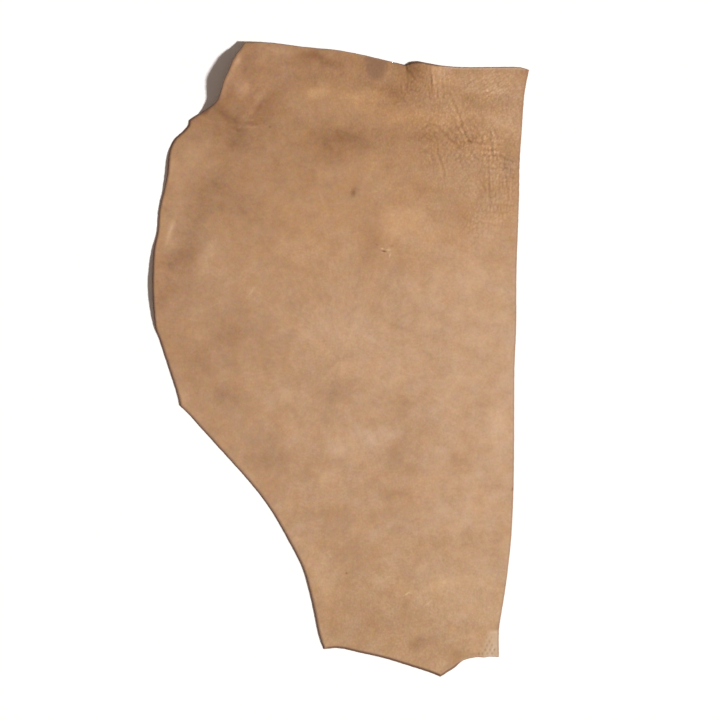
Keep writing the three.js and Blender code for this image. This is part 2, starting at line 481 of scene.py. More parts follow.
# How far a crease wanders off its line in mm, how far it reaches in half widths, and how it dies
# away towards its ends. Then its ridges: their place in half widths, and their height and paleness
# as shares of the trough's. A trough of TONE_DEPTH is fully dark. The dark trough and the pale ridges
# are partly painted shade and painted highlight.
CREASE_WANDER = 1.2
CREASE_REACH = 6
CREASE_END = 0.04
END_FADE = 0.6
RIDGE_PLACE = 2.1
RIDGE_HEIGHT = 0.45
RIDGE_PALENESS = 0.6
TONE_DEPTH = 0.6


def near_line(xy, points):
    """The distance from each point to a line of points, and the nearest place's share of it."""
    line = curve_through(points, np.linspace(0, 1, 4 * len(points)))
    best = np.full(xy.shape[:-1], 1e9)
    share = np.zeros(xy.shape[:-1])
    for i, (start, end) in enumerate(zip(line[:-1], line[1:])):
        along = np.clip(((xy - start) @ (end - start)) / ((end - start) @ (end - start)), 0, 1)
        far = np.linalg.norm(xy - start - along[..., None] * (end - start), axis=-1)
        nearer = far < best
        best = np.where(nearer, far, best)
        share = np.where(nearer, (i + along) / (len(line) - 1), share)
    return best, share


def creases_at(xy):
    """The depth of the creases in mm at each point, and how far each is in one or on its ridge."""
    depth_here = np.zeros(xy.shape[:-1])
    inside = np.zeros(xy.shape[:-1])
    wander = CREASE_WANDER * np.stack([noise_at(xy, 7.0, 12.0), noise_at(xy, 7.0, 14.0)], -1)
    patchy = np.clip(0.85 + 0.6 * noise_at(xy, 14.0, 16.0), 0.5, 1.2)
    for _, depth, width, points in CREASES:
        low = np.min(points, axis=0) - CREASE_REACH * width
        high = np.max(points, axis=0) + CREASE_REACH * width
        near = ((xy > low) & (xy < high)).all(axis=-1)
        far, share = near_line(xy[near] + wander[near], points)
        share = np.clip(share, CREASE_END, 1 - CREASE_END)
        fade = patchy[near] * np.sin(np.pi * share) ** END_FADE
        trough = np.exp(-((far / width) ** 2))
        ridge = np.exp(-((far / width - RIDGE_PLACE) ** 2))
        depth_here[near] += depth * fade * (trough - RIDGE_HEIGHT * ridge)
        inside[near] += depth / TONE_DEPTH * fade * (trough - RIDGE_PALENESS * ridge)
    return depth_here, inside


print(len(CREASES), "creases and folds of the grain")

# %% [markdown]
# ## Pebbled grain
#
# Around the creases the grain stands up in small pebbles, coarse beside the long uprights and fine
# towards the withers. A pebble is the dome over the ground that lies nearest to one of many
# scattered seeds, and the valleys lie half way between two seeds. Each patch has its own size of
# pebble, stretched in its own direction, because the skin was pulled that way.

# %% Pebbles
PEBBLED = [
    # x, y, half width, half height, strength, pebble size, turn in degrees, stretch
    (222, 341, 28, 20, 1.00, 6.0, -68, 1.9),
    (232, 316, 28, 18, 1.15, 6.6, 85, 1.15),
    (252, 298, 26, 18, 0.85, 6.0, -12, 1.7),
    (191, 350, 30, 32, 1.25, 4.6, -60, 3.0),
    (183, 317, 34, 24, 1.00, 6.0, -30, 1.2),
    (245, 280, 30, 30, 0.95, 5.2, 88, 2.1),
    (238, 236, 34, 34, 0.90, 5.0, 84, 2.1),
    (139, 347, 30, 30, 0.75, 5.4, -45, 1.9),
    (206, 212, 24, 26, 0.95, 5.2, 84, 1.6),
    (243, 418, 46, 30, 0.95, 4.4, 36, 2.2),
    (152, 413, 34, 44, 0.60, 5.2, 84, 2.0),
    (112, 425, 34, 34, 0.50, 5.4, 60, 1.4),
    (60, 380, 60, 50, 0.28, 5.6, 10, 1.2),
    (-130, 380, 55, 55, 0.28, 6.0, -35, 1.4),
]
PEBBLE_SIZE = 5.6
PEBBLE_RISE = 0.40
PEBBLE_WANDER = 0.7
SEED_SCATTER = 0.32
PEBBLED_EDGE = 1.2
PEBBLED_REACH = 4


def turned(offset, turn):
    """How far each offset reaches along a direction, in degrees from +X, and across it."""
    angle = np.radians(turn)
    along = offset[..., 0] * np.cos(angle) + offset[..., 1] * np.sin(angle)
    across = offset[..., 1] * np.cos(angle) - offset[..., 0] * np.sin(angle)
    return along, across


def scatter(cells):
    """A fixed, random-looking pair from -1 to 1 for each grid cell."""
    mixed = np.sin(cells @ np.array([[127.1, 269.5], [311.7, 183.3]])) * 43758.5453
    return 2 * (mixed - np.floor(mixed)) - 1


def pebbles(xy, size):
    """Domes about `size` across: 1 on top of a pebble and 0 in the valleys."""
    cell = np.floor(xy / size)
    nearest = np.full(xy.shape[:-1], 9.0)
    second = np.full(xy.shape[:-1], 9.0)
    for step in [(i, j) for i in (-1, 0, 1) for j in (-1, 0, 1)]:
        seed = (cell + step + 0.5 + SEED_SCATTER * scatter(cell + step)) * size
        far = np.linalg.norm(xy - seed, axis=-1) / size
        second = np.minimum(second, np.maximum(nearest, far))
        nearest = np.minimum(nearest, far)
    return 1 - (nearest / second) ** 2


def pebbling_at(xy):
    """The height of the pebbles in mm, and how far up or down on one each point lies.

    A pebble of PEBBLE_SIZE in a patch of strength 1 rises by PEBBLE_RISE.
    """
    height = np.zeros(xy.shape[:-1])
    top = np.zeros(xy.shape[:-1])
    for x, y, half_width, half_height, strength, size, turn, stretch in PEBBLED:
        reach = (((xy - (x, y)) / (half_width, half_height)) ** 2).sum(axis=-1)
        near = reach < PEBBLED_REACH
        fade = np.exp(-PEBBLED_EDGE * reach[near]) * (1 - reach[near] / PEBBLED_REACH)
        weight = strength * fade
        here = xy[near] + PEBBLE_WANDER * noise_at(xy[near], 9.0, 3.0)[:, None]
        along, across = turned(here, turn)
        domes = pebbles(np.stack([along / stretch, across], -1), size)
        height[near] += weight * PEBBLE_RISE * size / PEBBLE_SIZE * (domes - 0.5)
        top[near] += weight * (domes - 0.5)
    return height, top


print(len(PEBBLED), "pebbled patches")

# %% [markdown]
# ## Clamp marks
#
# A hide is dried stretched on a frame, held by toggle clamps. Their jaws have staggered pins, which
# leave rows of small pits in a corner of the sheet, and where the jaw pressed, the grain is paler.

# %% Pits of the clamp
CLAMP_PITS = [
    # y of the row, its depth, x of its pits
    (-452.2, 0.46, [212, 217.6, 225.2, 232.2]),
    (-446.5, 0.56, [222.1, 229.1, 236.1]),
    (-439.7, 0.48, [224.5, 232.2]),
    (-433.6, 0.40, [228.4]),
    (-427.6, 0.40, [223.8, 231.4]),
]
PIT_RADIUS = 1.6


def pits_at(xy):
    """How deep in a pit each point lies, in mm."""
    deep = np.zeros(xy.shape[:-1])
    for y, depth, row in CLAMP_PITS:
        for x in row:
            far = np.linalg.norm(xy - (x, y), axis=-1)
            deep = np.maximum(deep, depth * np.exp(-((far / PIT_RADIUS) ** 2)))
    return deep


print(sum(len(row) for _, _, row in CLAMP_PITS), "pits")

# %% [markdown]
# ## The grain side's relief
#
# All of it is added up in one function. The last part is a slow waviness of about a third of a
# millimetre: leather is never as flat as a board, and slanting light shows it.

# %% Add up the relief
WAVES = [
    # height, size, slice of the noise
    (0.30, 105.0, 1.5),
    (0.12, 38.0, 7.5),
    (0.03, 13.0, 9.5),
]


def relief_at(xy):
    """The height of the grain side over an even sheet at each point, in mm."""
    depth, _ = creases_at(xy)
    domes, _ = pebbling_at(xy)
    waves = sum(height * noise_at(xy, size, at) for height, size, at in WAVES)
    return waves + domes - depth - pits_at(xy)


# %% [markdown]
# ## The sheet
#
# The grain side has every row and column. Round it runs the rim, a few rings that follow a cut
# made with a slanting knife: the grain rolls over the edge, and a wall leans outwards below it. The
# roll is wide and full on the worn belly side, wide but shallow along the back, and narrow at the
# crest, the ripple and the rear. The flesh side is plain, so it has only each third row and column,
# and a face of it that meets the rim takes in all the rim's points, so that the mesh stays closed.

# %% Edges of the sheet
EDGES = [
    # stretch, shares of the side it belongs to, the first and the last of them, lean of the wall,
    # width of the roll, share of its drop, darkness of the rim (paler below 0), darkness of the cut;
    # the rim's darkness is partly painted shade and its paleness partly painted highlight
    ("rear cut", column_shares, 0.0, 0.78, 3.0, 2.3, 1.0, 1.2, 1.0),
    ("rear corner", column_shares, 0.78, 1.0, 1.0, 1.8, 0.6, 0.0, 0.5),
    ("back", row_shares, 0.0, 1.0, 0.4, 3.2, 0.3, 0.9, 0.6),
    ("withers", column_shares, 26 / 36, 1.0, 1.1, 3.8, 0.5, -0.4, 0.5),
    ("ripple", column_shares, 17 / 36, 26 / 36, 2.4, 1.8, 1.0, 0.5, 0.8),
    ("crest", column_shares, 0.0, 17 / 36, 1.0, 1.5, 1.0, -0.2, 0.3),
    ("throat", row_shares, 50 / 60, 1.0, 1.1, 3.5, 1.0, 0.9, 0.0),
    ("upper belly", row_shares, 0.74, 50 / 60, 2.2, 3.1, 1.0, 1.0, 0.0),
    ("belly", row_shares, 0.65, 0.74, 1.0, 3.4, 1.0, 0.9, 0.0),
    ("slack belly", row_shares, 0.51, 0.65, 2.2, 2.9, 1.0, 0.75, 0.0),
    ("foreleg", row_shares, 0.0, 0.51, 1.0, 3.8, 1.0, 1.1, 0.0),
]
LEAN, ROLL_WIDTH, DROP, RIM_COLOUR_AND_SHADE, CUT_DARKNESS = range(4, 9)
# Each ring of the roll: its share of the roll's width, and how far it lies below the grain in mm.
# Each ring of the wall: its share of the lean, and its height over the flesh side in mm.
ROLL = [(1.0, 0.0), (0.7, 0.04), (0.45, 0.14), (0.22, 0.32), (0.06, 0.52)]
WALL = [(0.9, 1.80), (0.6, 1.15), (0.3, 0.55), (0.03, 0.18), (0.3, 0.0)]
EDGE_BLEND = 6


def round_the_loop(which):
    """One of the values of EDGES for each point of the loop, blended where two stretches meet."""
    stretches = []
    for edge in EDGES:
        _, shares, first, last, *_ = edge
        steps = np.count_nonzero((shares > first + 1e-9) & (shares < last + 1e-9))
        stretches.append(np.full(steps, edge[which]))
    value = np.concatenate(stretches)
    wrapped = np.concatenate([value[-EDGE_BLEND:], value, value[:EDGE_BLEND]])
    window = 2 * EDGE_BLEND + 1
    return np.convolve(wrapped, np.full(window, 1 / window), "valid")


print("the rim has", len(ROLL) + len(WALL), "rings and", len(EDGES), "kinds of edge")

# %% Points of the sheet
# The grid starts RIM_START mm inside the outline. An edge that is raised leans less and rolls more.
RIM_START = 5.6
FLESH_INSET = 0.5
FULLY_RAISED = 12.0
LEAN_LOST = 0.5
ROLL_GAINED = 0.7

around = len(loop)
raised = np.clip(lifts_at(loop)[0] / FULLY_RAISED, 0, 1)
lean = round_the_loop(LEAN) * (1 - LEAN_LOST * raised)
roll = round_the_loop(ROLL_WIDTH) + ROLL_GAINED * raised
drop_share = round_the_loop(DROP)
RIM = [(lean + roll * share, THICKNESS - drop * drop_share) for share, drop in ROLL]
RIM += [(lean * share, np.full(around, height)) for share, height in WALL]

grain_plan = plan_of_sheet(RIM_START)
grain_relief = relief_at(grain_plan)
ring_plans = [loop - outward * inset[:, None] for inset, _ in RIM]
ring_relief = relief_at(ring_plans[0])
flesh_plan = plan_of_sheet(FLESH_INSET)[COARSE:-COARSE:COARSE, COARSE:-COARSE:COARSE]

grain_points = place(grain_plan, THICKNESS + grain_relief)
rings = [place(plan, height + ring_relief * height / THICKNESS)
         for plan, (_, height) in zip(ring_plans, RIM)]
flesh_points = place(flesh_plan, np.zeros(flesh_plan.shape[:-1]))
points = np.vstack([grain_points.reshape(-1, 3), *rings, flesh_points.reshape(-1, 3)])
plans = np.vstack([grain_plan.reshape(-1, 2), *ring_plans, flesh_plan.reshape(-1, 2)])
print(len(points), "points, up to", round(points[:, 2].max() / MM, 2), "mm high")

# %% Faces of the sheet
GRAIN, CUT, FLESH = 0, 1, 2
RIM_FINISH = [GRAIN] * len(ROLL) + [CUT] * (len(WALL) - 1) + [FLESH]


def ring_order(at):
    """The rim's points of a grid, anticlockwise from the first row's first column."""
    return ([at(0, c) for c in range(columns)] + [at(r, columns) for r in range(rows)]
            + [at(rows, c) for c in range(columns, 0, -1)] + [at(r, 0) for r in range(rows, 0, -1)])


def grain_index(row, column):
    """The point of the grain side at a row and column."""
    return row * (columns + 1) + column


faces = []
finishes = []
for r in range(rows):
    for c in range(columns):
        faces.append((grain_index(r, c), grain_index(r, c + 1), grain_index(r + 1, c + 1),
                      grain_index(r + 1, c)))
        finishes.append(GRAIN)

first_ring = (rows + 1) * (columns + 1)
upper = ring_order(grain_index)
for ring, finish in enumerate(RIM_FINISH):
    lower = [first_ring + ring * around + i for i in range(around)]
    for i in range(around):
        after = (i + 1) % around
        faces.append((lower[i], lower[after], upper[after], upper[i]))
        finishes.append(finish)
    upper = lower

last_ring = dict(zip(ring_order(lambda r, c: (r, c)), upper))
first_flesh = first_ring + len(RIM) * around
flesh_columns = columns // COARSE - 1


def flesh_index(row, column):
    """The point of the flesh side at a row and column, which may lie on the last ring."""
    if (row, column) in last_ring:
        return last_ring[row, column]
    return first_flesh + (row // COARSE - 1) * flesh_columns + column // COARSE - 1


def flesh_side(start, end):
    """The points from one corner of a flesh face to the next, all of them along the rim."""
    (r, c), (r_end, c_end) = start, end
    r_step = (r_end - r) // COARSE
    c_step = (c_end - c) // COARSE
    on_rim = (r == r_end and r in (0, rows)) or (c == c_end and c in (0, columns))
    steps = range(COARSE) if on_rim else [0]
    return [flesh_index(r + r_step * k, c + c_step * k) for k in steps]


for r in range(0, rows, COARSE):
    for c in range(0, columns, COARSE):
        corners = [(r, c), (r + COARSE, c), (r + COARSE, c + COARSE), (r, c + COARSE)]
        face = []
        for start, end in zip(corners, corners[1:] + corners[:1]):
            face.extend(flesh_side(start, end))
        faces.append(tuple(face))
        finishes.append(FLESH)
print(len(faces), "faces")

# %% Make the sheet's mesh
mesh = bpy.data.meshes.new("leather_sheet")
mesh.from_pydata(points.tolist(), [], faces)
mesh.update()
sheet = bpy.data.objects.new("leather_sheet", mesh)
bpy.context.scene.collection.objects.link(sheet)
mesh.polygons.foreach_set("material_index", finishes)
mesh.polygons.foreach_set("use_smooth", [True] * len(faces))
mesh.validate()
triangles = sum(len(face) - 2 for face in faces)
print("leather_sheet has", triangles, "triangles")

# %% [markdown]
# ## Light and dark in the hide
#
# Vegetable tanning colours a hide unevenly. The sheet is darker towards the top and the left, away
# from the lamp: partly the hide's own tan, as the neck and the belly take more tan than the back,
# and partly painted shade, where a lamp beside the table would light the far side less. Clouds of
# lighter and darker leather drift over it, some a little more golden and some more mauve. The
# clouds that stand out have a row each, and noise blurs their edges. Some were placed one by one.
# Others lie where measuring showed that a render still differed most from the real hide, and their
# strengths were corrected in the same way. A few of them are painted light and shade on the curled
# corner, the slack belly and the ripple, and say so where they stand.
# They are kept on the mesh as two values at each point, tone and gold, and the material turns those
# into colour.

# %% Clouds
CLOUDS = [
    # x, y, half width, half height, turn in degrees, lighter (+) or darker (-), gold (+) or mauve (-)
    # at the throat corner
    (-118, 480, 66, 11, -3, 0.18, -0.3),
    (-121, 460, 16, 9, 0, 0.09, -0.3),
    (-118, 455, 60, 26, 0, 0.05, -0.5),
    # Painted highlight: a thin pale cloud along the curled corner's lifted edge.
    (-171, 445, 6, 16, -20, 0.18, -0.5),
    # Painted shade, partly the hide's own darker tan: it darkens the curled corner's slope, which
    # faces the lamp.
    (-151, 435, 62, 34, 65, -0.20, 0.0),
    (-151, 419, 12, 8, 70, 0.16, -0.6),
    (-170, 418, 22, 30, 0, 0.0, -0.3),
    # Painted highlight: another thin pale cloud along the curled corner's lifted edge.
    (-183, 412, 6, 18, -18, 0.20, -0.5),
    (-140, 400, 110, 100, 0, 0.0, -0.5),
    (-179, 400, 18, 16, 0, -0.15, 0.1),
    (-110, 397, 22, 14, 40, -0.26, 0.1),
    (-189, 388, 14, 8, -30, -0.16, 0.0),
    (-129, 384, 10, 8, 0, -0.16, -0.3),
    (-171, 372, 18, 8, -35, -0.15, 0.0),
    (-132, 366, 20, 9, 0, -0.20, 0.2),
    (-151, 363, 50, 26, 15, -0.08, 0.1),
    (-159, 334, 15, 16, 0, -0.22, -0.2),
    # over the neck
    (-20, 472, 60, 8, -4, 0.08, 0.0),
    (-41, 469, 16, 6, -6, -0.30, 0.2),
    (-15, 456, 14, 6, -10, -0.20, 0.0),
    (-80, 449, 18, 9, 0, 0.14, 0.4),
    # Partly painted shade: it darkens the ripple's left flank, which faces away from the lamp.
    (117, 443, 16, 16, 0, -0.14, 0.2),
    (224, 429, 52, 26, 0, 0.25, -1.0),
    (108, 418, 22, 22, 0, 0.0, 0.4),
    (-40, 414, 32, 11, 0, 0.22, 0.4),
    (196, 412, 20, 6, 10, 0.12, 0.0),
    (83, 411, 24, 12, 0, -0.14, 0.2),
    (14, 403, 75, 13, 0, 0.16, 0.4),
    (29, 400, 38, 14, 0, 0.06, 0.4),
    (202, 400, 14, 8, 0, -0.16, 0.2),
    (272, 392, 17, 44, 0, 0.15, -1.0),
    (180, 389, 18, 16, 0, 0.12, 0.4),
    (242, 382, 16, 10, 0, 0.11, -0.8),
    (184, 374, 60, 8, 0, 0.14, 0.3),
    (186, 374, 15, 9, 0, -0.09, -0.5),
    (105, 372, 46, 13, 0, 0.12, 0.8),
    (84, 366, 22, 11, 0, 0.08, 0.4),
    (253, 364, 12, 8, 0, 0.20, 0.5),
    (137, 341, 26, 12, 0, -0.22, 0.4),
    (32, 340, 42, 18, 0, -0.15, 0.1),
    (175, 338, 22, 12, 0, -0.06, 0.2),
    (199, 337, 16, 7, 0, -0.12, 0.3),
    (-11, 332, 42, 24, 0, -0.22, 0.1),
    (262, 312, 18, 36, 0, -0.05, -0.8),
    (199, 292, 34, 26, 0, -0.05, -0.8),
    (-121, 270, 26, 24, 0, 0.0, -0.3),
    (222, 263, 15, 11, 0, -0.12, 0.1),
    (130, 263, 30, 10, 0, -0.14, 0.2),
    (20, 257, 10, 14, 0, 0.0, -1.2),
    (165, 255, 42, 30, 0, 0.0, -0.6),
    (231, 246, 18, 16, 0, -0.10, -0.6),
    (195, 227, 26, 22, 0, -0.12, 0.2),
    (95, 211, 32, 25, 0, 0.10, 1.0),
    (-108, 207, 30, 24, 0, -0.10, -0.2),
    # along the belly
    (-215, 325, 45, 28, 0, 0.06, -0.3),
    (-237, 301, 56, 26, 72, 0.08, -0.9),
    (-143, 298, 14, 12, 0, -0.10, -0.4),
    (-159, 239, 34, 28, 0, -0.16, -0.4),
    (-213, 232, 85, 16, 66, -0.15, -0.3),
    (-256, 230, 14, 16, 0, -0.09, -0.7),
    (-226, 225, 60, 30, 75, 0.0, -0.8),
    (-170, 221, 24, 24, 0, 0.0, -0.4),
    (-261, 212, 10, 12, 0, -0.09, -0.6),
    (-262, 210, 40, 10, 75, 0.14, 0.0),
    (-258, 190, 20, 60, 0, 0.0, -0.4),
    (-197, 177, 34, 9, 66, 0.08, -0.3),
    (-210, 158, 24, 14, 60, 0.14, -0.7),
    (-247, 152, 34, 24, 30, -0.27, 0.2),
    (-209, 134, 14, 11, 0, 0.11, -0.5),
    (-170, 122, 24, 24, 0, 0.0, -0.4),
    (-262, 44, 12, 20, 0, -0.10, 0.4),
    (-171, 38, 28, 20, 0, -0.20, 0.2),
    (-262, 20, 12, 24, 0, 0.0, 0.4),
    (-223, -5, 24, 34, 20, -0.18, 0.2),
    (-179, -54, 28, 20, 0, -0.20, -0.1),
    # in the middle and over the foreleg
    (48, 180, 16, 32, 0, -0.16, 0.5),
    (-48, 177, 40, 40, 0, 0.04, 0.6),
    (-75, 142, 30, 12, -20, -0.12, 0.0),
    (183, 123, 36, 24, 20, 0.10, 0.4),
    (245, 61, 14, 14, 0, 0.09, 0.4),
    (6, 38, 44, 24, -20, 0.10, -0.1),
    (-1, -47, 28, 18, 20, -0.18, -0.3),
    (85, -100, 60, 40, 0, 0.0, -0.35),
    (52, -116, 30, 16, 10, 0.16, -0.3),
    (-1, -139, 22, 16, 0, 0.12, -0.4),
    (80, -145, 14, 20, 20, -0.20, -0.1),
    (-109, -147, 42, 26, -30, -0.16, -0.2),
    (111, -165, 22, 10, -30, -0.14, 0.0),
    (104, -174, 20, 9, -45, -0.12, 0.0),
    (145, -195, 24, 18, 0, 0.10, 0.4),
    # at the rear
    (-66, -268, 44, 14, -62, 0.12, -0.2),
    (-32, -332, 14, 28, 15, 0.14, 0.2),
    (175, -339, 38, 14, 5, 0.22, 0.4),
    (70, -362, 20, 6, -30, -0.08, 0.0),
    (105, -368, 36, 16, 25, 0.13, 0.0),
    (-13, -434, 14, 7, 10, 0.08, 0.0),
    (185, -458, 12, 9, -30, -0.12, 0.0),
]
PLAIN_CLOUDS = [
    # not turned and without gold or mauve: x, y, half width, half height, lighter or darker
    # at the throat corner
    (-143, 374, 10, 9, -0.08), (-160, 349, 16, 6, -0.06),
    # over the neck
    (160, 441, 22, 20, 0.18), (256, 438, 14, 8, 0.10), (13, 438, 17, 11, 0.08),
    (84, 438, 12, 10, 0.08), (-78, 417, 14, 11, -0.09), (243, 412, 14, 8, 0.20),
    (-60, 387, 22, 10, 0.13), (30, 384, 14, 9, 0.10), (-7, 372, 26, 14, 0.11),
    (235, 368, 16, 12, 0.10), (73, 363, 14, 9, -0.08), (267, 352, 8, 20, 0.09),
    (83, 343, 30, 11, -0.06), (134, 309, 22, 22, -0.08), (257, 300, 13, 22, -0.12),
    (48, 295, 22, 18, 0.08), (122, 220, 20, 14, 0.08),
    # along the belly
    # The first cloud here is painted shade: it darkens the slack belly's lifted slope, which faces
    # the lamp.
    (-275, 92, 28, 40, -0.27), (-158, 92, 36, 24, -0.09), (-197, 72, 24, 20, -0.06),
    (-172, 2, 32, 14, -0.10),
    # in the middle and over the foreleg
    (138, 190, 16, 12, 0.08), (86, 148, 24, 26, -0.09), (-121, 23, 40, 30, -0.10),
    (48, 18, 20, 30, 0.06), (224, -9, 13, 14, -0.08), (-86, -54, 20, 16, 0.14),
    (91, -69, 26, 16, -0.14), (245, -108, 20, 32, 0.12), (108, -110, 38, 26, -0.09),
    (-58, -122, 60, 26, 0.05), (-172, -146, 14, 14, -0.10), (132, -146, 16, 12, -0.07),
    (177, -155, 13, 10, -0.16), (250, -155, 18, 26, 0.07), (159, -176, 14, 11, -0.09),
    (78, -177, 13, 10, -0.13), (-25, -185, 22, 14, 0.10), (86, -208, 22, 10, -0.16),
    (8, -239, 38, 14, -0.12), (191, -247, 24, 16, 0.12),
    # at the rear
    (199, -273, 14, 13, -0.12), (14, -293, 30, 16, -0.10), (195, -297, 50, 16, 0.06),
    (186, -327, 18, 10, -0.12), (94, -338, 14, 10, -0.09), (68, -339, 20, 12, 0.12),
    (176, -367, 18, 11, 0.13), (103, -381, 14, 16, -0.16), (236, -385, 22, 30, 0.06),
    (48, -400, 22, 14, -0.08), (30, -403, 15, 11, 0.08), (-5, -415, 15, 8, -0.14),
    (202, -435, 16, 10, 0.07), (118, -436, 17, 9, -0.24), (152, -472, 14, 9, 0.14),
]
CLOUD_BLUR = 9.0
PATCH_EDGE = 0.9
# The tone in the middle of the hide, how it rises towards the back, and how it falls off towards
# the neck and the rear, per mm and per square mm. The rise towards the back and the fall towards the
# neck are partly the hide's own tan and partly painted light and shade: lighter on the lamp's side.
TONE_MIDDLE = 0.526
TONE_ACROSS = 0.00039
TONE_TO_NECK = 1.7e-6
TONE_TO_REAR = 0.45e-6


def patch_at(xy, x, y, half_width, half_height, turn):
    """A soft oval patch: 1 in its middle and nothing beyond twice its size."""
    along, across = turned(xy - (x, y), turn)
    return np.exp(-PATCH_EDGE * ((along / half_width) ** 2 + (across / half_height) ** 2))


def clouds_at(xy):
    """How light and how golden the leather is at each point."""
    blurred = xy + CLOUD_BLUR * np.stack([noise_at(xy, 32.0, 2.0), noise_at(xy, 32.0, 6.0)], -1)
    x = blurred[..., 0]
    y = blurred[..., 1]
    tone = TONE_MIDDLE + TONE_ACROSS * x - np.where(y > 0, TONE_TO_NECK, TONE_TO_REAR) * y**2
    gold = np.zeros(tone.shape)
    for *where, lighter, golden in CLOUDS:
        here = patch_at(blurred, *where)
        tone += lighter * here
        gold += golden * here
    for *where, lighter in PLAIN_CLOUDS:
        tone += lighter * patch_at(blurred, *where, 0)
    return tone, gold


print(len(CLOUDS) + len(PLAIN_CLOUDS), "clouds")

# %% [markdown]
# ## Stain, clamp and edge values
#
# More values of the same kind say where the water stain hangs from the neck edge, where the jaw of
# the clamp pressed, how deep in a crease or pit a point lies, and how strongly the fine grain stands
# up. The rim value says how much darker the edge of the grain is drawn, partly its own darker colour
# and partly painted shade along the edge, or below nothing how much paler, partly painted highlight.
# The cut value says how dark the cut edge is drawn.

# %% Write the values on the mesh
STAIN = (55, 463, 17.5, 32, 0)
STAIN_START = 0.33
STAIN_EDGE = 0.16
STAIN_WAVER = 1.6
ROUGH_PATCHES = [
    # x, y, half width, half height, turn in degrees, how rough
    (215, 355, 120, 130, 0, 1.0),
    (60, 420, 160, 70, 0, 0.4),
    (100, -420, 190, 110, 0, 0.45),
]
LEAST_ROUGH = 0.24
JAW_CORNER = (211, -457)
JAW_SLANT = 0.31
JAW_TOP = -414.5
JAW_FADE_ACROSS = 16.0
JAW_FADE_UP = 4.5
JAW_RAGGED = 5.0
JAW_PRESS = 0.92
JAW_PATCHY = 0.4
RIM_DARK = [0.0, 0.4, 0.7, 0.9, 1.0] + [1.0] * len(WALL)
RIM_MAUVE = 1.0


def stain_at(xy):
    """1 within the stain, with a fairly sharp edge."""
    wavy = xy + STAIN_WAVER * noise_at(xy, 11.0, 4.0)[..., None]
    return np.clip((patch_at(wavy, *STAIN) - STAIN_START) / STAIN_EDGE, 0, 1)


def roughness_at(xy):
    """How strongly the fine grain stands up: most in the neck by the withers, some at the rear."""
    share = sum(rough * patch_at(xy, *where) for *where, rough in ROUGH_PATCHES)
    return LEAST_ROUGH + (1 - LEAST_ROUGH) * np.clip(share, 0, 1)


def clamp_at(xy):
    """About 1 where the clamp's jaw pressed: below a line, and to the right of a ragged slant."""
    across = xy[..., 0] - JAW_CORNER[0]
    up = xy[..., 1] - JAW_CORNER[1]
    beside = (across - JAW_SLANT * up + JAW_RAGGED * noise_at(xy, 9.0, 8.0)) / JAW_FADE_ACROSS
    below = (JAW_TOP - xy[..., 1]) / JAW_FADE_UP
    pressed = JAW_PRESS + JAW_PATCHY * noise_at(xy, 6.0, 9.0)
    return np.clip(beside, 0, 1) * np.clip(below, 0, 1) * pressed


rim_colour_and_shade = np.zeros(len(points))
for ring, dark in enumerate(RIM_DARK):
    here = slice(first_ring + ring * around, first_ring + (ring + 1) * around)
    rim_colour_and_shade[here] = dark * round_the_loop(RIM_COLOUR_AND_SHADE)
on_rim = slice(first_ring, first_ring + len(RIM) * around)
cut_darkness_values = np.zeros(len(points))
cut_darkness_values[on_rim] = np.tile(round_the_loop(CUT_DARKNESS), len(RIM))
tone_here, gold_here = clouds_at(plans)
gold_here[on_rim] -= RIM_MAUVE
values = {
    "tone": tone_here,
    "gold": gold_here,
    "stain": stain_at(plans),
    "clamp": clamp_at(plans),
    "crease": creases_at(plans)[1],
    "pebble": pebbling_at(plans)[1],
    "rough": roughness_at(plans),
    "pit": pits_at(plans),
    "rim": rim_colour_and_shade,
    "cut": cut_darkness_values,
}
for name, value in values.items():
    attribute = mesh.attributes.new(name, "FLOAT", "POINT")
    attribute.data.foreach_set("value", value.astype(np.float32))
    print(name, "from", round(float(value.min()), 2), "to", round(float(value.max()), 2))

# %% [markdown]
# ## Grain side
#
# Undyed vegetable-tanned grain that nobody has waxed or glazed is a matt surface: diffuse tan with
# a weak, wide gloss. So it is one Principled shader at the usual index of 1.5, a roughness of about
# 0.7 and a lowered specular level. The colour comes from the tone on the mesh, broken up by noise
# in four sizes: clouds of about 60 mm, blotches of 20 mm, mottling of 7 mm, and the grain itself.
# Real hair-cell grain is under a millimetre, too fine for a view from so far, so it is drawn about
# 3 mm coarse, and faint.
#
# Small marks such as a bruise, a scar or a scratch are soft ovals in the material, finer than the
# mesh's own points could hold. Five marks are painted light and shade instead: on the fold beside
# the ripple, along its crest, and at the curled corner's edge and foot.

